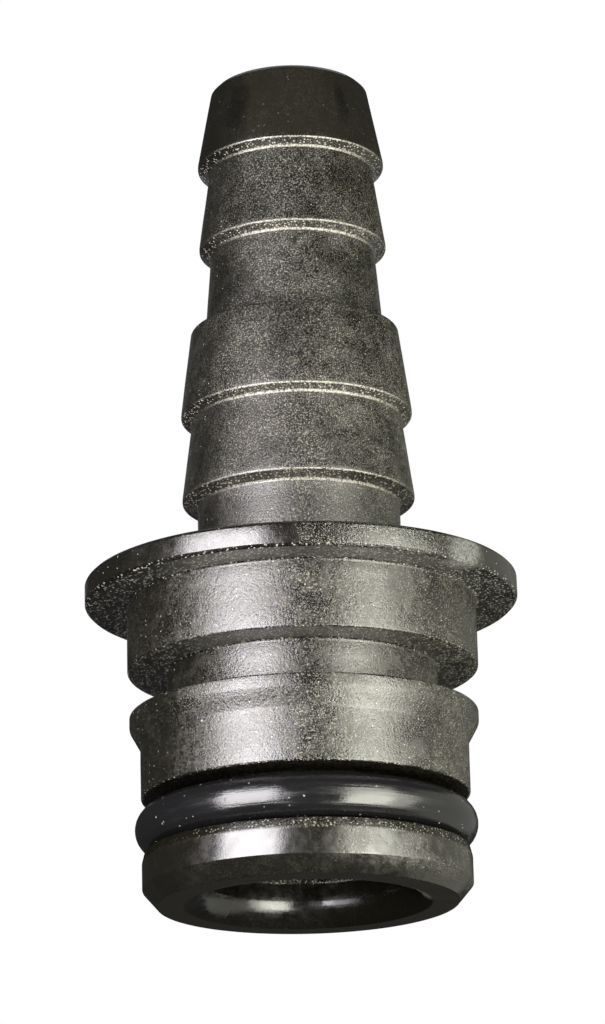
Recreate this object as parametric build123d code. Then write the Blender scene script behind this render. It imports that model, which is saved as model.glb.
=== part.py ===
from build123d import *
import math
import os

# A push-in hose tail: one moulded body, and the seal ring that sits in its groove.
# Millimetres. The body stands on its spigot. Z = 0 is the spigot's end face, the Z axis
# is the middle of the waterway, and +Z points to the hose end.

# Spigot, from its end face up to the flange
end_face_radius = 8.8  # the bevel that leads the spigot in starts here
lead_in_height = 1.0
spigot_radius = 9.65
lower_land_height = 1.5  # from the lead-in to the bevel at the seal groove's lower edge
upper_land_height = 3.12  # from the seal groove to the collar's flare
collar_flare_height = 1.13
collar_radius = 10.28
collar_land_height = 0.73
clip_groove_width = 2.65  # takes the locking clip of the port
clip_groove_depth = 2.4  # below the shoulder
shoulder_radius = 10.36
shoulder_height = 4.05

# Seal ring and the groove that holds it
ring_section = 2.62  # thickness of the ring
ring_stand_out = 0.38  # how far the ring stands proud of the spigot
ring_lower_gap = 0.1  # the ring lies near the lower side of its groove
ring_upper_gap = 0.5
ring_seat_gap = 0.02  # between the ring and the groove's floor
groove_bevel_height = 0.6  # on the groove's lower edge, which the ring slides over
groove_bevel_depth = 0.15

# Flange
flange_radius = 12.83
flange_thickness = 1.5
flange_bevel = 0.2  # on both edges of the rim

# Hose tail, in two sizes of hose, each with two barbs
neck_radius = 6.05
neck_height = 4.6  # from the flange to the underside of the first barb
barb_pitch = 5.32
barb_underside_rise = 0.3
barb_land = 0.25
large_crest_radius = 6.94
large_root_radius = 6.3
step_radius = 6.27  # top of the larger size
small_start_radius = 5.39  # foot of the smaller size, on the step
small_crest_radius = 5.67
small_root_radius = 4.98
tip_radius = 4.8
tip_height = 5.1  # from the last crest to the tip
tip_bevel = 0.3

# Waterway
tail_bore_radius = 3.5
spigot_bore_radius = 5.9
bore_taper_height = 2.4  # joins the two bores, and ends level with the flange's top
mouth_radius = 7.19
mouth_curve_radius = 1.7

# Heights along the axis
groove_low = lead_in_height + lower_land_height + groove_bevel_height
ring_low = groove_low + ring_lower_gap
groove_high = ring_low + ring_section + ring_upper_gap
flare_low = groove_high + upper_land_height
collar_low = flare_low + collar_flare_height
clip_low = collar_low + collar_land_height
clip_high = clip_low + clip_groove_width
flange_low = clip_high + shoulder_height
flange_high = flange_low + flange_thickness
first_crest = flange_high + neck_height + barb_underside_rise
second_crest = first_crest + barb_pitch
step_height = second_crest + barb_pitch
third_crest = step_height + barb_pitch
fourth_crest = third_crest + barb_pitch
tip = fourth_crest + tip_height

# Radii and depths that follow from the sizes above
ring_centre_radius = spigot_radius + ring_stand_out - ring_section / 2
groove_floor_radius = ring_centre_radius - ring_section / 2 - ring_seat_gap
clip_floor_radius = shoulder_radius - clip_groove_depth
mouth_sweep = math.acos(1 - (mouth_radius - spigot_bore_radius) / mouth_curve_radius)
mouth_depth = mouth_curve_radius * math.sin(mouth_sweep)


def spigot_corners():
    """Outer corners of the spigot, as (radius, height), from the end face up."""
    return [
        (end_face_radius, 0),
        (spigot_radius, lead_in_height),
        (spigot_radius, groove_low - groove_bevel_height),
        (spigot_radius - groove_bevel_depth, groove_low),
        (groove_floor_radius, groove_low),
        (groove_floor_radius, groove_high),
        (spigot_radius, groove_high),
        (spigot_radius, flare_low),
        (collar_radius, collar_low),
        (collar_radius, clip_low),
        (clip_floor_radius, clip_low),
        (clip_floor_radius, clip_high),
        (shoulder_radius, clip_high),
        (shoulder_radius, flange_low),
    ]


def flange_corners():
    """Outer corners of the flange, with both edges of its rim bevelled, and the neck's foot."""
    return [
        (flange_radius - flange_bevel, flange_low),
        (flange_radius, flange_low + flange_bevel),
        (flange_radius, flange_high - flange_bevel),
        (flange_radius - flange_bevel, flange_high),
        (neck_radius, flange_high),
    ]


def barb_corners(crest, root_radius, crest_radius):
    """One barb: the root under it, its crest, and the top of the small land on the crest."""
    return [
        (root_radius, crest - barb_underside_rise),
        (crest_radius, crest),
        (crest_radius, crest + barb_land),
    ]


def tail_corners():
    """Outer corners of the hose tail, from the neck over the step between sizes to the tip."""
    return [
        *barb_corners(first_crest, neck_radius, large_crest_radius),
        *barb_corners(second_crest, large_root_radius, large_crest_radius),
        (step_radius, step_height),
        (small_start_radius, step_height),
        *barb_corners(third_crest, small_root_radius, small_crest_radius),
        *barb_corners(fourth_crest, small_root_radius, small_crest_radius),
        (tip_radius, tip - tip_bevel),
        (tip_radius - tip_bevel, tip),
    ]


def bore_corners():
    """Inner corners of the waterway, from the tip down to the foot of the spigot's bore."""
    return [
        (tail_bore_radius, tip),
        (tail_bore_radius, flange_high),
        (spigot_bore_radius, flange_high - bore_taper_height),
        (spigot_bore_radius, mouth_depth),
    ]


def body_outline():
    """Half section of the moulded body. Its mouth flares out from the bore in one arc."""
    lip = (mouth_radius, 0)
    corners = spigot_corners() + flange_corners() + tail_corners() + bore_corners()
    with BuildSketch(Plane.XZ) as outline:
        with BuildLine():
            Polyline(lip, *corners)
            TangentArc(corners[-1], lip, tangent=(0, -1))
        make_face()
    return outline.sketch


def barb_body():
    """The fitting itself, moulded in one piece around its waterway."""
    return revolve(body_outline(), axis=Axis.Z).solid()


def o_ring():
    """The round rubber seal, near the lower side of its groove."""
    ring = Torus(ring_centre_radius, ring_section / 2)
    return Pos(0, 0, ring_low + ring_section / 2) * ring


os.makedirs("parts", exist_ok=True)
export_step(barb_body(), "parts/barb_body.step")
export_step(o_ring(), "parts/o_ring.step")
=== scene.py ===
"""Hose barb tail, dressed for looks: a glass-filled plastic fitting and its rubber seal ring."""

import math

import bpy
from bpy.props import FloatProperty, FloatVectorProperty, IntProperty, PointerProperty
from mathutils import Matrix, Vector, noise


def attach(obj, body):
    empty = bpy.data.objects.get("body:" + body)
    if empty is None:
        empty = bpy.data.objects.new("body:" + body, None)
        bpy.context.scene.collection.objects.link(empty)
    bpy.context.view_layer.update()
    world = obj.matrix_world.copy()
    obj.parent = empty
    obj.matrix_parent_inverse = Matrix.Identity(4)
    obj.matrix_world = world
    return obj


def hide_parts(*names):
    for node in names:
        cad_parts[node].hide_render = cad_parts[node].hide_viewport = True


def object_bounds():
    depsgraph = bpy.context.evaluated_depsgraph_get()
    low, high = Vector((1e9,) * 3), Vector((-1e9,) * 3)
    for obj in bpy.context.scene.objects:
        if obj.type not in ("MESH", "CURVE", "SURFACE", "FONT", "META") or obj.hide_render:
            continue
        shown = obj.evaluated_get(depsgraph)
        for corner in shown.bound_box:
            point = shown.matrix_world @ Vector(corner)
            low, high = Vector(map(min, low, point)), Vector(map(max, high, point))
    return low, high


bl_info = {
    "name": "Hose Barb Tail",
    "version": (1, 0, 0),
    "blender": (4, 5, 0),
    "location": "View3D > Sidebar > Hose Tail",
    "description": "Moulded barb body, rubber seal ring and studio around the packed CAD part",
    "category": "Object",
}

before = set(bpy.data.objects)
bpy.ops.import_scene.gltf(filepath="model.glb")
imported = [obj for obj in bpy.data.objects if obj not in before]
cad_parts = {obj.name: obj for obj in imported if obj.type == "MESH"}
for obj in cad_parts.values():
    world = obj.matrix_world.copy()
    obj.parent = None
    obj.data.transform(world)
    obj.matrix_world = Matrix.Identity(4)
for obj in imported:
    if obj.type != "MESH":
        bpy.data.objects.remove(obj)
CAD_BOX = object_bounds()
MM = 0.001
BODY_NODE = "barb_body"
RING_NODE = "o_ring"

# The body's regions. Each pair is where a region is still empty and where it is full, as a radius
# from the axis or a height in millimetres.
FOOT_TOP = (2.6, 2.4)
TAIL_FOOT = (19.2, 20.0)
TIP_FOOT = (44.8, 46.2)
RIM_EDGE = (12.0, 12.6)
SEAL_GROOVE_LOW, SEAL_GROOVE_HIGH, SEAL_GROOVE_MOUTH = (2.9, 3.15), (6.5, 6.25), (9.6, 9.4)
GRIT_LOW, GRIT_HIGH = (2.4, 2.6), (3.2, 3.0)
END_FACE_EDGE = (7.15, 7.3)
MOUTH_EDGE = (7.3, 7.15)
BEVEL_EDGE = (9.0, 9.5)
LIP_INNER, LIP_OUTER, LIP_TOP = (6.5, 6.65), (7.3, 7.1), (0.25, 0.15)

BLACK = (0.0, 0.0, 0.0)

# Single spots on the body: the centre, the radius and how ragged the edge is, in millimetres.
SCUFF = ((9.6, -8.5, 18.8), 1.9, 1.6)
HIGH_STAIN = ((5.8, -8.6, 16.7), 1.3, 1.2)
LOW_STAIN = ((6.5, -7.1, 7.5), 0.8, 0.8)
LEFT_SMEAR = ((-3.1, -4.1, 19.3), 1.2, 1.0)
RIGHT_SMEAR = ((3.2, -4.1, 19.3), 0.7, 0.8)
SMEAR_STRETCH = (1.0, 1.0, 0.4)

# How the section's corners are told apart.
SAME_PLACE = 0.01 * MM
GENTLE_TURN = math.radians(30)
SHARP_TURN = math.radians(50)
STRAIGHT_TURN = math.radians(1)
RIM_BEVEL = 0.5 * MM
OUTSIDE_BORE = 4.2 * MM
RIDGE_STEP = math.radians(0.4)
CLOSEST_STEP = math.radians(0.3)
# Waves to a millimetre, and the share of the waviness that each has.
WAVES = ((0.3, 1.0), (0.9, 0.5))

# The lamps stand round the seal ring. Angles are in degrees as it sees them, azimuth from the front.
RING_HEIGHT = 4.5 * MM
COOL, WARM, WHITE = (1.0, 0.96, 0.99), (1.0, 0.99, 0.87), (1.0, 1.0, 1.0)
LAMPS = (
    # name, azimuth, spread, low, high, share of the lamp strength, tint
    ("left_lamp", -37, 39, -29, 28.5, 1.04, COOL),
    ("right_low_lamp", 42, 32, -45, 4, 0.85, WARM),
    ("right_high_lamp", 43, 29, 4, 19, 0.55, WARM),
    ("right_top_lamp", 42, 32, 19, 26, 1.0, WARM),
    ("right_edge_lamp", 66, 14, -45, 12, 0.35, WARM),
    ("far_right_lamp", 112, 76, -45, 35, 0.05, WARM),
    ("back_lamp", 180, 50, 25, 45, 0.05, WHITE),
    ("high_back_lamp", 180, 60, 58, 72, 0.08, WHITE),
)

# The floor, in metres, and how bright it glows under the part, in its painted shadow, and out in the
# open.
FLOOR_RADIUS, FLOOR_SIDES = 0.3, 64
FLOOR_FADE = (0.24, 0.10)
FLOOR_SHADE, FLOOR_OPEN = 0.3, 0.66


# ---------------------------------------------------------------- settings


class BodySettings(bpy.types.PropertyGroup):
    """Roundings and surface forms of the moulded body."""

    segments: IntProperty(
        name="Segments",
        description="Steps round the axis",
        default=240,
        min=24,
        max=300,
    )
    arc_step: FloatProperty(
        name="Arc step",
        description="Largest turn between two points of a rounded corner",
        default=math.radians(15),
        subtype="ANGLE",
    )
    run_step: FloatProperty(
        name="Run step",
        description="Longest step along a straight run of the section",
        default=1.2 * MM,
        unit="LENGTH",
    )
    outer_edge: FloatProperty(
        name="Outer edge",
        description="Rounding of the moulded outer edges",
        default=0.13 * MM,
        unit="LENGTH",
    )
    bevelled_edge: FloatProperty(
        name="Bevelled edge",
        description="Rounding of both corners of a bevel",
        default=0.12 * MM,
        unit="LENGTH",
    )
    inner_corner: FloatProperty(
        name="Inner corner",
        description="Rounding of the grooves' and shoulders' inner corners",
        default=0.2 * MM,
        unit="LENGTH",
    )
    crest_edge: FloatProperty(
        name="Crest edge",
        description="Rounding of the barbs' crests",
        default=0.14 * MM,
        unit="LENGTH",
    )
    barb_root: FloatProperty(
        name="Barb root",
        description="Rounding where a barb's underside meets the next one",
        default=0.22 * MM,
        unit="LENGTH",
    )
    neck_root: FloatProperty(
        name="Neck root",
        description="Rounding where the neck rises from the flange",
        default=0.8 * MM,
        unit="LENGTH",
    )
    gentle_blend: FloatProperty(
        name="Gentle blend",
        description="Rounding of the shallow corners, such as the collar's flare",
        default=0.4 * MM,
        unit="LENGTH",
    )
    waviness: FloatProperty(
        name="Waviness",
        description="How far the moulded faces stray from a true round",
        default=0.012 * MM,
        unit="LENGTH",
    )
    parting_angle: FloatProperty(
        name="Parting angle",
        description="Turn of the mould's parting line from the front, to the right",
        default=math.radians(47.5),
        subtype="ANGLE",
    )
    parting_height: FloatProperty(
        name="Parting line",
        description="How far the parting line stands proud",
        default=0.014 * MM,
        unit="LENGTH",
    )


class PlasticSettings(bpy.types.PropertyGroup):
    """Finish of the glass-filled plastic."""

    dark: FloatVectorProperty(
        name="Dark",
        description="Colour of the plastic between its fibres",
        subtype="COLOR",
        default=(0.010, 0.009, 0.0055),
    )
    pale: FloatVectorProperty(
        name="Pale",
        description="Colour where fibres lie just under the skin",
        subtype="COLOR",
        default=(0.040, 0.036, 0.024),
    )
    fleck: FloatVectorProperty(
        name="Fleck",
        description="Colour of a fibre end that breaks the skin",
        subtype="COLOR",
        default=(0.45, 0.43, 0.34),
    )
    # Painted glints: the colour of the specks that stand in for fibre ends catching the light, and also
    # of the dust and of the painted crest-edge highlights.
    glint: FloatVectorProperty(
        name="Glint",
        description="Colour of the brightest specks",
        subtype="COLOR",
        default=(0.75, 0.72, 0.60),
    )
    scuff: FloatVectorProperty(
        name="Scuff",
        description="Colour of the rubbed place on the flange's rim",
        subtype="COLOR",
        default=(0.30, 0.30, 0.29),
    )
    roughness: FloatProperty(
        name="Roughness",
        description="Roughness of the smooth foot, rim and tip",
        default=0.22,
    )
    grain_roughness: FloatProperty(
        name="Grain roughness",
        description="What the grain of the spigot and shoulder adds to the roughness",
        default=0.03,
    )
    tail_roughness: FloatProperty(
        name="Tail roughness",
        description="What the coarser grain of the tail adds to it",
        default=0.15,
    )
    scuff_roughness: FloatProperty(
        name="Scuff roughness",
        description="What rubbing adds to it",
        default=0.3,
    )
    stain_roughness: FloatProperty(
        name="Stain roughness",
        description="What the stains add to it",
        default=0.35,
    )
    blotches: FloatProperty(
        name="Blotches",
        description="How much the roughness changes from blotch to blotch",
        default=0.3,
    )
    refraction: FloatProperty(
        name="Refraction",
        description="Index of refraction, which sets how much the plastic mirrors",
        default=2.4,
    )
    relief: FloatProperty(
        name="Relief",
        description="Height of the grain and the fibre ends",
        default=0.03 * MM,
        unit="LENGTH",
    )


class RubberSettings(bpy.types.PropertyGroup):
    """Finish of the seal ring."""

    rubber: FloatVectorProperty(
        name="Rubber",
        description="Colour of the rubber",
        subtype="COLOR",
        default=(0.012, 0.012, 0.013),
    )
    dust: FloatVectorProperty(
        name="Dust",
        description="Colour of the dust specks",
        subtype="COLOR",
        default=(0.42, 0.40, 0.35),
    )
    roughness: FloatProperty(
        name="Roughness",
        description="Roughness of the smoothest rubber",
        default=0.14,
    )
    line_roughness: FloatProperty(
        name="Line roughness",
        description="What the fine lines add to the roughness",
        default=0.3,
    )
    dust_roughness: FloatProperty(
        name="Dust roughness",
        description="What the dust adds to it",
        default=0.4,
    )
    refraction: FloatProperty(
        name="Refraction",
        description="Index of refraction, which sets how much the rubber mirrors",
        default=2.1,
    )
    relief: FloatProperty(
        name="Relief",
        description="Height of the fine lines and the dust",
        default=0.03 * MM,
        unit="LENGTH",
    )


class StageSettings(bpy.types.PropertyGroup):
    """Camera, lamps and floor."""

    lens: FloatProperty(
        name="Lens",
        description="Focal length in millimetres",
        default=147.7,
    )
    distance: FloatProperty(
        name="Distance",
        description="From the camera to the point of the axis that it is set by",
        default=250.97 * MM,
        unit="LENGTH",
    )
    rise: FloatProperty(
        name="Rise",
        description="How steeply the camera looks up",
        default=math.radians(16.887),
        subtype="ANGLE",
    )
    roll: FloatProperty(
        name="Roll",
        description="Turn of the camera about its own line of sight",
        default=math.radians(-1.422),
        subtype="ANGLE",
    )
    aim_height: FloatProperty(
        name="Aim height",
        description="Height of the point of the axis that the camera is set by",
        default=23.861 * MM,
        unit="LENGTH",
    )
    aim_side: FloatProperty(
        name="Aim side",
        description="How far that point stands to the right of the picture's middle",
        default=-0.215 * MM,
        unit="LENGTH",
    )
    aim_drop: FloatProperty(
        name="Aim drop",
        description="How far that point stands below the picture's middle",
        default=-0.016 * MM,
        unit="LENGTH",
    )
    lamp_strength: FloatProperty(
        name="Lamp strength",
        description="Brightness of the large soft lamps' faces",
        default=4.6,
    )
    lamp_distance: FloatProperty(
        name="Lamp distance",
        description="How far the lamps stand from the axis",
        default=70 * MM,
        unit="LENGTH",
    )
    room_light: FloatProperty(
        name="Room light",
        description="Brightness of the room that lights the part from all round",
        default=0.05,
    )
    room_gloss: FloatProperty(
        name="Room gloss",
        description="Brightness of the backdrop as gloss and glass show it",
        default=0.03,
    )
    shadow_reach: FloatProperty(
        name="Shadow reach",
        description="How far round it the part darkens the floor",
        default=40 * MM,
        unit="LENGTH",
    )
    floor_gap: FloatProperty(
        name="Floor gap",
        description="Space between the part's end face and the floor",
        default=0.2 * MM,
        unit="LENGTH",
    )


# ---------------------------------------------------------------- shader writing


class Socket:
    """An output of a shader node. Arithmetic on it adds Math nodes."""

    def __init__(self, shader, output):
        self.shader = shader
        self.output = output

    def other(self, name):
        """Another output of the same node."""
        return Socket(self.shader, self.output.node.outputs[name])

    def _math(self, operation, *terms):
        return self.shader.add("ShaderNodeMath", {"operation": operation}, dict(enumerate(terms)))

    def __add__(self, other):
        return self._math("ADD", self, other)

    def __radd__(self, other):
        return self._math("ADD", other, self)

    def __sub__(self, other):
        return self._math("SUBTRACT", self, other)

    def __rsub__(self, other):
        return self._math("SUBTRACT", other, self)

    def __mul__(self, other):
        return self._math("MULTIPLY", self, other)

    def __rmul__(self, other):
        return self._math("MULTIPLY", other, self)

    def most(self, other):
        """The larger of the two, which joins one mask to another."""
        return self._math("MAXIMUM", self, other)

    def ramp(self, low, high):
        """0 at low, 1 at high and smooth between them, whichever of the two is the larger."""
        smooth = {"interpolation_type": "SMOOTHSTEP"}
        if low < high:
            inputs = {"Value": self, "From Min": low, "From Max": high}
        else:
            inputs = {"Value": self, "From Min": high, "From Max": low, "To Min": 1.0, "To Max": 0.0}
        return self.shader.add("ShaderNodeMapRange", smooth, inputs)


class Shader:
    """The nodes of one material or world."""

    def __init__(self, owner):
        owner.use_nodes = True
        self.tree = owner.node_tree
        self.tree.nodes.clear()

    def add(self, kind, settings=None, inputs=None, output=0):
        """Adds one node, sets it up, feeds its sockets and gives the output that is asked for."""
        node = self.tree.nodes.new(kind)
        for name, value in (settings or {}).items():
            setattr(node, name, value)
        for name, value in (inputs or {}).items():
            if isinstance(value, Socket):
                self.tree.links.new(value.output, node.inputs[name])
            else:
                node.inputs[name].default_value = value
        return Socket(self, node.outputs[output]) if len(node.outputs) else None

    def millimetres(self):
        """The piece's own coordinates, in millimetres."""
        own = self.add("ShaderNodeTexCoord", output="Object")
        return self.vector("SCALE", own, Scale=1 / MM)

    def vector(self, operation, first, second=None, output=0, **others):
        """One Vector Math node."""
        inputs = {0: first, **others}
        if second is not None:
            inputs[1] = second
        return self.add("ShaderNodeVectorMath", {"operation": operation}, inputs, output)

    def noise(self, place, scale, detail=2.0, roughness=0.5):
        """Smooth noise of that many waves to a millimetre, from 0 to 1 about a middle of 0.5."""
        inputs = {"Vector": place, "Scale": scale, "Detail": detail, "Roughness": roughness}
        return self.add("ShaderNodeTexNoise", inputs=inputs, output=0)

    def specks(self, place, spacing, radius, share):
        """Small round specks, one in some of the cells of a given spacing."""
        cells = self.add("ShaderNodeTexVoronoi", inputs={"Vector": place, "Scale": 1 / spacing})
        lot = self.add("ShaderNodeSeparateColor", inputs={"Color": cells.other("Color")})
        size = radius / spacing
        return cells.ramp(size, 0.5 * size) * lot.ramp(1 - share, 1.01 - share)

    def spot(self, place, centre, radius, ragged):
        """A soft round spot about a centre, with its edge broken up by noise."""
        away = self.vector("DISTANCE", place, centre, output="Value")
        edge = away + ragged * (self.noise(place, scale=1.6, detail=4.0, roughness=0.6) - 0.5)
        return edge.ramp(radius, 0.35 * radius)

    def bump(self, height, depth):
        """The normal of a relief whose height goes from 0 to 1 over a depth in metres."""
        inputs = {"Strength": 1.0, "Distance": depth, "Height": height}
        return self.add("ShaderNodeBump", inputs=inputs)

    def mix(self, share, first, second):
        """A colour that goes from the first to the second as the share goes from 0 to 1."""
        ends = {6: painted(first), 7: painted(second)}
        return self.add("ShaderNodeMix", {"data_type": "RGBA"}, {0: share, **ends}, 2)


def painted(value):
    """A socket as it is, or a plain colour with its alpha."""
    return value if isinstance(value, Socket) else (*tuple(value)[:3], 1.0)


# ---------------------------------------------------------------- finishes


class BodyRegions:
    """Where a point of the body lies. Every region is a share from 0 to 1."""

    def __init__(self, s, place):
        apart = s.add("ShaderNodeSeparateXYZ", inputs={"Vector": place})
        side, depth, height = (apart.other(axis) for axis in "XYZ")
        flat = s.vector("MULTIPLY", place, (1.0, 1.0, 0.0))
        radius = s.vector("LENGTH", flat, output="Value")
        outward = s.vector("NORMALIZE", flat)
        # From -1 at the left through 0 at the front and back to 1 at the right.
        turn = s.add("ShaderNodeSeparateXYZ", inputs={"Vector": outward}, output="X")
        # From -1 on a face that looks down to 1 on one that looks up.
        facing = s.add("ShaderNodeTexCoord", output="Normal")
        upward = s.add("ShaderNodeSeparateXYZ", inputs={"Vector": facing}, output="Z")

        # The smooth land below the seal ring, the uppermost barb, and all that is above the flange.
        self.foot = height.ramp(*FOOT_TOP)
        self.tip = height.ramp(*TIP_FOOT)
        self.tail = height.ramp(*TAIL_FOOT)
        # The seal ring's groove, and the gritty edge below it.
        self.gland = height.ramp(*SEAL_GROOVE_LOW) * height.ramp(*SEAL_GROOVE_HIGH)
        self.gland = self.gland * radius.ramp(*SEAL_GROOVE_MOUTH)
        self.grit = height.ramp(*GRIT_LOW) * height.ramp(*GRIT_HIGH)
        # Faces that look down.
        self.underside = upward.ramp(-0.4, -0.8) * (1 - self.foot)
        self.level_underside = upward.ramp(-0.92, -0.98) * (1 - self.foot)
        # The flat end face, the mouth that curves in from it, and the lip between them at the front. The
        # mouth is darkened as painted shade, most at its right; along the lip at the front a pale line
        # is painted as a highlight.
        self.end_face = upward.ramp(-0.97, -0.995) * self.foot * radius.ramp(*END_FACE_EDGE)
        self.mouth = radius.ramp(*MOUTH_EDGE) * self.foot
        self.mouth_shadow = self.mouth * side.ramp(-0.5, 2.5)
        lip_highlight = radius.ramp(*LIP_INNER) * radius.ramp(*LIP_OUTER) * height.ramp(*LIP_TOP)
        self.lip_highlight = lip_highlight * depth.ramp(0.0, -1.5) * turn.ramp(-0.9, -0.6)
        # The rounded edges of the barbs' crests, painted with a highlight that fades out towards the far
        # sides.
        edges = self.tail * upward.ramp(-0.08, -0.3) * upward.ramp(-0.88, -0.7)
        self.painted_crest_highlights = edges * turn.ramp(-0.95, -0.4) * turn.ramp(1.0, 0.7)
        # The flange's rim, clean at its left and at its far right, and the duller right of the foot.
        rim = radius.ramp(*RIM_EDGE)
        self.clean_rim = rim * side.ramp(0.6, -0.6).most(side.ramp(9.8, 10.4))
        self.dull_foot = self.foot * turn.ramp(0.1, 0.35) * radius.ramp(*BEVEL_EDGE)
        # Painted shade at the far left, where fewer pale fibres and flecks show, and more blotches at
        # the right. The left share is where the gritty band's painted shadow lies thickest.
        self.fibres_shaded_left = 0.25 + 0.75 * turn.ramp(-0.85, -0.5)
        self.blotched = turn.ramp(0.0, 0.3)
        self.left = turn.ramp(-0.42, -0.55)


class BodyPattern:
    """The uneven look of the moulded plastic: noises, specks and single spots, from 0 to 1."""

    def __init__(self, s, place, on):
        self.patches = s.noise(place, scale=0.4, detail=3.0, roughness=0.55)
        self.mottle = s.noise(place, scale=1.6, detail=4.0, roughness=0.6)
        self.grain = s.noise(place, scale=8.0, detail=2.0, roughness=0.7)
        drawn_out = s.vector("MULTIPLY", place, (1.0, 1.0, 0.5))
        self.fibres = s.noise(drawn_out, scale=5.0, detail=3.0, roughness=0.6)
        uneven = self.patches.ramp(0.3, 0.7)

        self.clean_foot = on.foot * (1 - 0.8 * on.dull_foot * self.patches.ramp(0.35, 0.55))
        smooth = self.clean_foot.most(on.tip).most(0.9 * on.clean_rim)
        self.grainy = 1 - 0.88 * smooth

        self.rubbed = s.spot(place, *SCUFF)
        self.stains = s.spot(place, *HIGH_STAIN).most(s.spot(place, *LOW_STAIN))
        upright = s.vector("MULTIPLY", place, SMEAR_STRETCH)
        smears = s.spot(upright, *LEFT_SMEAR).most(0.8 * s.spot(upright, *RIGHT_SMEAR))

        frost = (self.grainy * uneven * (1 - 0.7 * self.stains)).most(0.75 * on.tip * (1 - smears))
        # Painted shade: no pale fibres on undersides and in the seal groove, and fewer at the far left.
        frost = frost * (1 - on.underside) * (1 - on.gland)
        frost = frost * (1 - 0.35 * on.tail * (1 - on.tip)) * on.fibres_shaded_left
        covered = self.mottle.ramp(0.4, 0.65).most(on.tip).most(on.end_face)
        self.frost = covered * frost.most(0.6 * on.end_face)

        dense = 0.035 * on.tail - 0.05 * on.gland
        fibre_ends = (s.noise(place, scale=13.0, detail=1.0) + dense).ramp(0.58, 0.65)
        self.flecks = fibre_ends * (0.4 + 0.6 * uneven) * self.grainy * on.fibres_shaded_left

        # Painted glints: bright specks that stand in for fibre ends catching the lamps, sparse on the
        # walls and thick on undersides and the gritty band. The large spaced specks are dust.
        sparse = s.specks(place, spacing=0.3, radius=0.05, share=0.25)
        sparse = sparse * (1 - self.clean_foot) * (1 - on.gland) * (1 - 0.6 * on.tip)
        thick = s.specks(place, spacing=0.2, radius=0.07, share=0.9)
        thick = thick * (on.underside * (1 - on.gland)).most(0.6 * on.grit * on.fibres_shaded_left)
        dust = s.specks(place, spacing=1.9, radius=0.09, share=0.2)
        # Painted highlights on the crest edges, in the glint colour.
        edges = 0.9 * on.painted_crest_highlights * self.grain.ramp(0.38, 0.55)
        self.painted_glints_and_dust = sparse.most(thick).most(dust).most(edges)


def plastic_colour(s, on, pattern, settings):
    """Dark plastic, paler where fibres lie under the skin, with bright fibre ends and worn places,
    painted shade on its undersides, in the seal groove, in the mouth and at the far left, and painted
    glints and highlights in its brightest specks, on the crest edges and at the lip.
    """
    # Painted shade: undersides, less on the tail, the seal groove and the mouth are darkened towards
    # black.
    painted_shade = (on.underside * (1 - 0.5 * on.tail)).most(1.4 * on.gland).most(0.8 * on.mouth)
    # Painted highlight: the pale line along the lip at the front, with the fibre ends.
    bright = pattern.flecks.most(on.lip_highlight * (0.5 + 0.5 * pattern.grain.ramp(0.42, 0.6)))
    colour = s.mix(pattern.frost, settings.dark, settings.pale)
    colour = s.mix(0.7 * painted_shade, colour, BLACK)
    colour = s.mix(0.9 * bright, colour, settings.fleck)
    colour = s.mix(pattern.painted_glints_and_dust, colour, settings.glint)
    return s.mix(pattern.rubbed * pattern.grain.ramp(0.3, 0.6), colour, settings.scuff)


def plastic_roughness(on, pattern, settings):
    """Satin, rougher on the tail, on level undersides and in stains, and blotchier at the right."""
    grainy = pattern.grainy
    rough = settings.roughness + settings.grain_roughness * grainy
    rough = rough + settings.tail_roughness * on.tail * grainy
    rough = rough + settings.scuff_roughness * pattern.rubbed + settings.stain_roughness * pattern.stains
    rough = rough + 0.15 * on.level_underside * (1 - on.gland) + 0.08 * on.dull_foot
    blotches = (pattern.mottle - 0.5) + (pattern.patches - 0.5)
    rough = rough + (1 + 1.1 * on.blotched * grainy) * settings.blotches * blotches
    return rough + 0.3 * grainy * (pattern.grain - 0.5)


def plastic_finish(settings):
    """Black glass-filled plastic with a smooth foot and tip, and a dark matte layer mixed in as painted
    shade in the seal groove and on the mouth's right, and along the gritty band below the groove,
    thickest at its left as painted shadow.
    """
    material = bpy.data.materials.new("glass_filled_plastic")
    s = Shader(material)
    place = s.millimetres()
    on = BodyRegions(s, place)
    pattern = BodyPattern(s, place, on)
    relief = pattern.grain + 0.4 * pattern.fibres + 0.4 * pattern.flecks
    relief = relief * pattern.grainy + 0.4 * pattern.mottle
    finish = s.add(
        "ShaderNodeBsdfPrincipled",
        inputs={
            "Base Color": plastic_colour(s, on, pattern, settings),
            "Roughness": plastic_roughness(on, pattern, settings),
            "IOR": settings.refraction,
            "Normal": s.bump(relief, settings.relief),
        },
    )
    # A dark matte layer mixed in: painted shade in the seal groove and on the mouth's right, and along
    # the gritty band below the groove, thickest at its left as painted shadow.
    dark_matte_layer = s.add("ShaderNodeBsdfDiffuse", inputs={"Color": painted(settings.dark)})
    grit_and_painted_shade = (on.grit * (0.55 + 0.4 * on.left)).most(0.85 * on.gland).most(0.8 * on.mouth_shadow)
    grit_and_painted_shade = grit_and_painted_shade * (1 - pattern.painted_glints_and_dust) * (1 - on.lip_highlight)
    finish_with_dark_layer = s.add("ShaderNodeMixShader", inputs={0: grit_and_painted_shade, 1: finish, 2: dark_matte_layer})
    s.add("ShaderNodeOutputMaterial", inputs={"Surface": finish_with_dark_layer})
    return material


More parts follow.
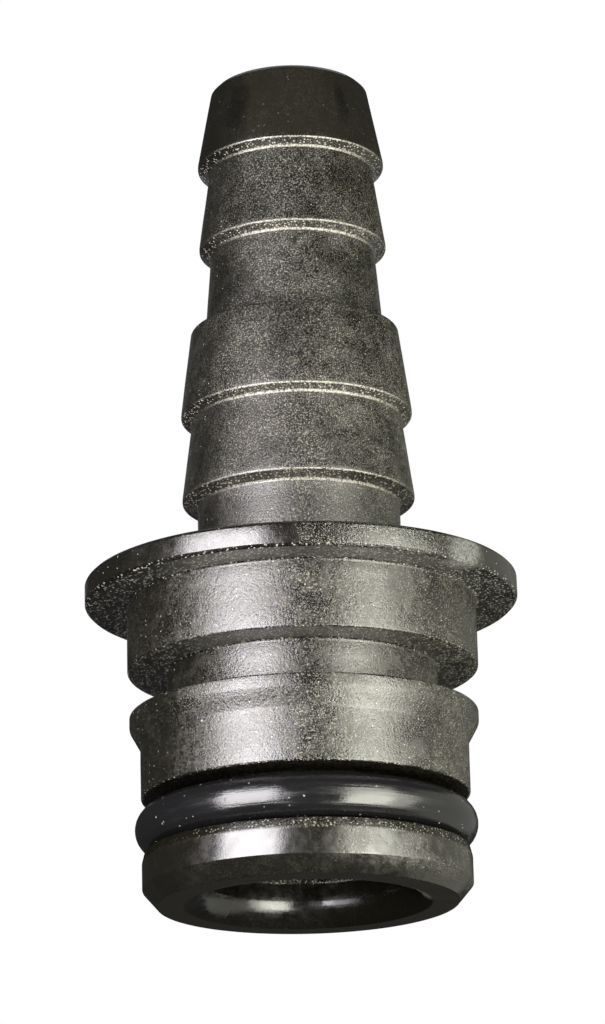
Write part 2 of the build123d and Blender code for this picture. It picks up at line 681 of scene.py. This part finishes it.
def rubber_finish(settings):
    """Satin black rubber, with faint lines that run round the ring, and a little dust."""
    material = bpy.data.materials.new("seal_rubber")
    s = Shader(material)
    place = s.millimetres()
    apart = s.add("ShaderNodeSeparateXYZ", inputs={"Vector": place})
    flat = s.vector("MULTIPLY", place, (1.0, 1.0, 0.0))
    radius = s.vector("LENGTH", flat, output="Value")
    drift = s.noise(place, scale=0.12, detail=1.0)
    section = s.add(
        "ShaderNodeCombineXYZ",
        inputs={"X": radius, "Y": drift * 2.0, "Z": apart.other("Z")},
    )
    lines = s.noise(section, scale=3.5, detail=4.0, roughness=0.6)
    grain = s.noise(place, scale=6.0)
    sheen = s.noise(place, scale=0.7)
    dust = s.specks(place, spacing=0.45, radius=0.075, share=0.35)
    rough = settings.roughness + settings.line_roughness * lines.ramp(0.35, 0.65) * sheen
    rough = rough + settings.dust_roughness * dust
    finish = s.add(
        "ShaderNodeBsdfPrincipled",
        inputs={
            "Base Color": s.mix(dust, settings.rubber, settings.dust),
            "Roughness": rough,
            "IOR": settings.refraction,
            "Normal": s.bump(lines + 0.15 * grain + dust, settings.relief),
        },
    )
    s.add("ShaderNodeOutputMaterial", inputs={"Surface": finish})
    return material


# ---------------------------------------------------------------- moulded body


def section_of(node):
    """Corners of a turned node's half section, as (radius, height), in order round the outline."""
    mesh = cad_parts[node].data
    on_section = 0.0005 * MM

    def corner(index):
        x, y, z = mesh.vertices[index].co
        return (round(x, 7), round(z, 7)) if abs(y) < on_section and x > 0 else None

    joined = {}
    for edge in mesh.edges:
        first, last = (corner(index) for index in edge.vertices)
        if first and last and first != last:
            joined.setdefault(first, set()).add(last)
            joined.setdefault(last, set()).add(first)
    start = min(joined, key=lambda point: (point[1], -point[0]))
    outline = [start, max(joined[start], key=lambda point: point[0])]
    while outline[-1] != start:
        ahead = joined[outline[-1]] - {outline[-2]}
        outline.append(ahead.pop())
    return outline[:-1]


class Corner:
    """A corner of the section: its place, the runs on its two sides and the turn between them."""

    def __init__(self, before, place, after):
        run_in, run_out = place - before, after - place
        self.place = place
        self.way_in = run_in.normalized()
        self.way_out = run_out.normalized()
        self.room = 0.49 * min(run_in.length, run_out.length)
        self.turn = -self.way_in.angle_signed(self.way_out)


def corners_of(outline):
    places = [Vector(point) for point in outline]
    count = len(places)
    return [Corner(places[i - 1], places[i], places[(i + 1) % count]) for i in range(count)]


def rounding_of(corner, rim_top, settings):
    """The rounding that the mould gives a corner, by its place and how far the outline turns."""
    on_end_face = corner.place.y < SAME_PLACE
    on_tail = corner.place.y > rim_top + SAME_PLACE
    if abs(corner.turn) < GENTLE_TURN and not on_end_face:
        return settings.gentle_blend
    if corner.turn > 0:
        sharp = settings.crest_edge if on_tail else settings.outer_edge
        return sharp if corner.turn > SHARP_TURN else settings.bevelled_edge
    if on_tail:
        return settings.barb_root
    at_neck = abs(corner.place.y - rim_top) < SAME_PLACE
    return settings.neck_root if at_neck else settings.inner_corner


def rounded(corner, rounding, settings):
    """The points of the arc that rounds a corner, or the corner itself where it is straight."""
    half = abs(corner.turn) / 2
    if half < STRAIGHT_TURN / 2:
        return [corner.place]
    reach = min(rounding * math.tan(half), corner.room)
    radius = reach / math.tan(half)
    side = math.copysign(1, corner.turn)
    start = corner.place - corner.way_in * reach
    centre = start + Vector((-corner.way_in.y, corner.way_in.x)) * side * radius
    steps = max(1, math.ceil(2 * half / settings.arc_step))
    spoke = start - centre
    turns = [corner.turn * step / steps for step in range(steps + 1)]
    return [centre + Matrix.Rotation(turn, 2) @ spoke for turn in turns]


def section_points(settings):
    """The half section of the body with every corner rounded and long runs divided."""
    corners = corners_of(section_of(BODY_NODE))
    widest = max(corner.place.x for corner in corners)
    rim_top = max(corner.place.y for corner in corners if corner.place.x > widest - RIM_BEVEL)
    arcs = [rounded(c, rounding_of(c, rim_top, settings), settings) for c in corners]
    points = []
    for arc, following in zip(arcs, arcs[1:] + arcs[:1]):
        points.extend(arc)
        run = following[0] - arc[-1]
        pieces = math.ceil(run.length / settings.run_step)
        points.extend(arc[-1] + run * piece / pieces for piece in range(1, pieces))
    return points


def turned_angles(settings):
    """Even steps round the axis, with a few close ones at the two parting lines."""
    even = [math.tau * step / settings.segments for step in range(settings.segments)]
    ridge = (-RIDGE_STEP, 0.0, RIDGE_STEP)
    lines = (settings.parting_angle, settings.parting_angle + math.pi)
    close = [(line + offset - math.pi / 2) % math.tau for line in lines for offset in ridge]
    clear = [a for a in even if min(abs(a - c) for c in close) > CLOSEST_STEP]
    return sorted(clear + close), {close[1], close[4]}


def moulded_point(point, angle, on_ridge, settings):
    """A point of the body, with the small departures from a true round that moulding leaves."""
    x, y = math.cos(angle), math.sin(angle)
    at = Vector((point.x * x, point.x * y, point.y)) / MM
    wave = sum(share * noise.noise(at * waves) for waves, share in WAVES)
    radius = point.x + settings.waviness * wave
    if on_ridge and point.x > OUTSIDE_BORE:
        radius += settings.parting_height
    return (radius * x, radius * y, point.y)


def turned_mesh(name, points, angles, place_point):
    """A closed mesh made by turning a closed section about the axis."""
    rows, columns = len(points), len(angles)
    vertices = [place_point(point, angle) for point in points for angle in angles]
    faces = []
    for row in range(rows):
        above = (row + 1) % rows
        for column in range(columns):
            beside = (column + 1) % columns
            low, high = row * columns, above * columns
            faces.append((low + column, low + beside, high + beside, high + column))
    mesh = bpy.data.meshes.new(name)
    mesh.from_pydata(vertices, [], faces)
    mesh.shade_smooth()
    return mesh


def add_piece(name, mesh, material, node):
    """Puts a finished mesh in the scene in place of its CAD node."""
    piece = bpy.data.objects.new(name, mesh)
    bpy.context.scene.collection.objects.link(piece)
    mesh.materials.append(material)
    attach(piece, "root")
    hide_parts(node)
    return piece


class HOSETAIL_OT_moulded_body(bpy.types.Operator):
    """Make the moulded body with its rounded edges, and give it the plastic's finish"""

    bl_idname = "hosetail.moulded_body"
    bl_label = "Moulded Body"

    def execute(self, context):
        settings = context.scene.hosetail_body
        angles, ridges = turned_angles(settings)

        def place_point(point, angle):
            return moulded_point(point, angle, angle in ridges, settings)

        mesh = turned_mesh("moulded_body", section_points(settings), angles, place_point)
        material = plastic_finish(context.scene.hosetail_plastic)
        piece = add_piece("moulded_body", mesh, material, BODY_NODE)
        weighted = piece.modifiers.new("even_faces", "WEIGHTED_NORMAL")
        weighted.weight = 100
        return {"FINISHED"}


class HOSETAIL_OT_seal_ring(bpy.types.Operator):
    """Give the seal ring its satin rubber finish"""

    bl_idname = "hosetail.seal_ring"
    bl_label = "Seal Ring"

    def execute(self, context):
        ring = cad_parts[RING_NODE]
        ring.data.shade_smooth()
        ring.data.materials.clear()
        ring.data.materials.append(rubber_finish(context.scene.hosetail_rubber))
        return {"FINISHED"}


# ---------------------------------------------------------------- stage


def add_camera(settings):
    """The camera below the part's middle, looking up at its end face."""
    data = bpy.data.cameras.new("camera")
    data.lens = settings.lens
    data.clip_start = 0.01
    camera = bpy.data.objects.new("camera", data)
    bpy.context.scene.collection.objects.link(camera)
    tilt = Matrix.Rotation(math.radians(90) + settings.rise, 4, "X")
    turned = tilt @ Matrix.Rotation(settings.roll, 4, "Z")
    aim = Vector((0, 0, settings.aim_height))
    offset = turned @ Vector((settings.aim_side, -settings.aim_drop, -settings.distance))
    camera.matrix_world = Matrix.Translation(aim - offset) @ turned
    bpy.context.scene.camera = camera


def add_lamp(name, azimuth, spread, low, high, strength, tint, away):
    """An upright soft lamp at a distance from the axis, between two elevations."""
    turn = math.radians(azimuth)
    width = 2 * away * math.tan(math.radians(spread / 2))
    foot, top = (away * math.tan(math.radians(angle)) for angle in (low, high))
    data = bpy.data.lights.new(name, "AREA")
    data.shape = "RECTANGLE"
    data.size = width
    data.size_y = top - foot
    data.energy = 4 * width * (top - foot) * strength
    data.color = tint
    lamp = bpy.data.objects.new(name, data)
    bpy.context.scene.collection.objects.link(lamp)
    way = Vector((math.sin(turn), -math.cos(turn), 0))
    facing = way.to_track_quat("Z", "Y").to_matrix().to_4x4()
    middle = Vector((0, 0, RING_HEIGHT + (foot + top) / 2))
    lamp.matrix_world = Matrix.Translation(middle + way * away) @ facing
    lamp.visible_camera = False


def studio_world(settings):
    """A white backdrop for the camera, and a dim room all round for the part."""
    world = bpy.data.worlds.new("studio_room")
    bpy.context.scene.world = world
    s = Shader(world)
    ray = s.add("ShaderNodeLightPath", output="Is Camera Ray")
    gloss = ray.other("Is Glossy Ray").most(ray.other("Is Transmission Ray"))
    dim = settings.room_light + (settings.room_gloss - settings.room_light) * gloss
    strength = ray + (1 - ray) * dim
    backdrop = s.add("ShaderNodeBackground", inputs={"Color": painted(WHITE), "Strength": strength})
    s.add("ShaderNodeOutputWorld", inputs={"Surface": backdrop})


def floor_finish(settings):
    """Glows pale from above, with the part's soft shadow painted in by ambient occlusion, fading out at
    its edge, and clear from below.
    """
    material = bpy.data.materials.new("pale_floor")
    s = Shader(material)
    ray = s.add("ShaderNodeLightPath", output="Is Camera Ray")
    below = s.add("ShaderNodeNewGeometry", output="Backfacing")
    away = s.vector("LENGTH", s.add("ShaderNodeTexCoord", output="Object"), output="Value")
    shown = ray * (1 - below) * away.ramp(*FLOOR_FADE)
    white = painted(WHITE)
    reach = {"Color": white, "Distance": settings.shadow_reach}
    # Painted shadow: the floor's glow is dimmed by ambient occlusion round the part.
    open_sky = s.add("ShaderNodeAmbientOcclusion", {"samples": 16}, reach, "AO")
    glow_with_painted_shadow = FLOOR_SHADE + FLOOR_OPEN * open_sky
    pale = s.add("ShaderNodeEmission", inputs={"Color": white, "Strength": glow_with_painted_shadow})
    clear = s.add("ShaderNodeBsdfTransparent")
    mixed = s.add("ShaderNodeMixShader", inputs={0: shown, 1: clear, 2: pale})
    s.add("ShaderNodeOutputMaterial", inputs={"Surface": mixed})
    return material


def add_floor(settings):
    """A round floor just under the part's end face."""
    turns = [math.tau * step / FLOOR_SIDES for step in range(FLOOR_SIDES)]
    rim = [(FLOOR_RADIUS * math.cos(turn), FLOOR_RADIUS * math.sin(turn), 0.0) for turn in turns]
    mesh = bpy.data.meshes.new("floor")
    mesh.from_pydata(rim, [], [tuple(range(len(rim)))])
    mesh.materials.append(floor_finish(settings))
    floor = bpy.data.objects.new("floor", mesh)
    bpy.context.scene.collection.objects.link(floor)
    lowest = CAD_BOX[0].z
    floor.location.z = lowest - settings.floor_gap
    floor.visible_shadow = False


class HOSETAIL_OT_studio(bpy.types.Operator):
    """Set up the camera, the lamps, the room and the floor"""

    bl_idname = "hosetail.studio"
    bl_label = "Studio"

    def execute(self, context):
        settings = context.scene.hosetail_stage
        add_camera(settings)
        for name, azimuth, spread, low, high, share, tint in LAMPS:
            strength = share * settings.lamp_strength
            add_lamp(name, azimuth, spread, low, high, strength, tint, settings.lamp_distance)
        studio_world(settings)
        add_floor(settings)
        context.scene.view_settings.view_transform = "Standard"
        return {"FINISHED"}


class HOSETAIL_PT_panel(bpy.types.Panel):
    """Lists the pieces of the hose tail and their settings"""

    bl_label = "Hose Tail"
    bl_idname = "HOSETAIL_PT_panel"
    bl_space_type = "VIEW_3D"
    bl_region_type = "UI"
    bl_category = "Hose Tail"

    def draw(self, context):
        scene = context.scene
        rows = (
            (HOSETAIL_OT_moulded_body, (scene.hosetail_body, scene.hosetail_plastic)),
            (HOSETAIL_OT_seal_ring, (scene.hosetail_rubber,)),
            (HOSETAIL_OT_studio, (scene.hosetail_stage,)),
        )
        for operator, groups in rows:
            box = self.layout.box()
            box.operator(operator.bl_idname)
            for group in groups:
                for name in group.__annotations__:
                    box.prop(group, name)


SETTINGS = {
    "hosetail_body": BodySettings,
    "hosetail_plastic": PlasticSettings,
    "hosetail_rubber": RubberSettings,
    "hosetail_stage": StageSettings,
}
OPERATORS = (HOSETAIL_OT_moulded_body, HOSETAIL_OT_seal_ring, HOSETAIL_OT_studio)


def register():
    for kind in (*SETTINGS.values(), *OPERATORS, HOSETAIL_PT_panel):
        bpy.utils.register_class(kind)
    for name, kind in SETTINGS.items():
        setattr(bpy.types.Scene, name, PointerProperty(type=kind))


def unregister():
    for name in SETTINGS:
        delattr(bpy.types.Scene, name)
    for kind in reversed((*SETTINGS.values(), *OPERATORS, HOSETAIL_PT_panel)):
        bpy.utils.unregister_class(kind)


def main():
    register()
    bpy.ops.hosetail.moulded_body()
    bpy.ops.hosetail.seal_ring()
    bpy.ops.hosetail.studio()


if __name__ == "__main__":
    main()
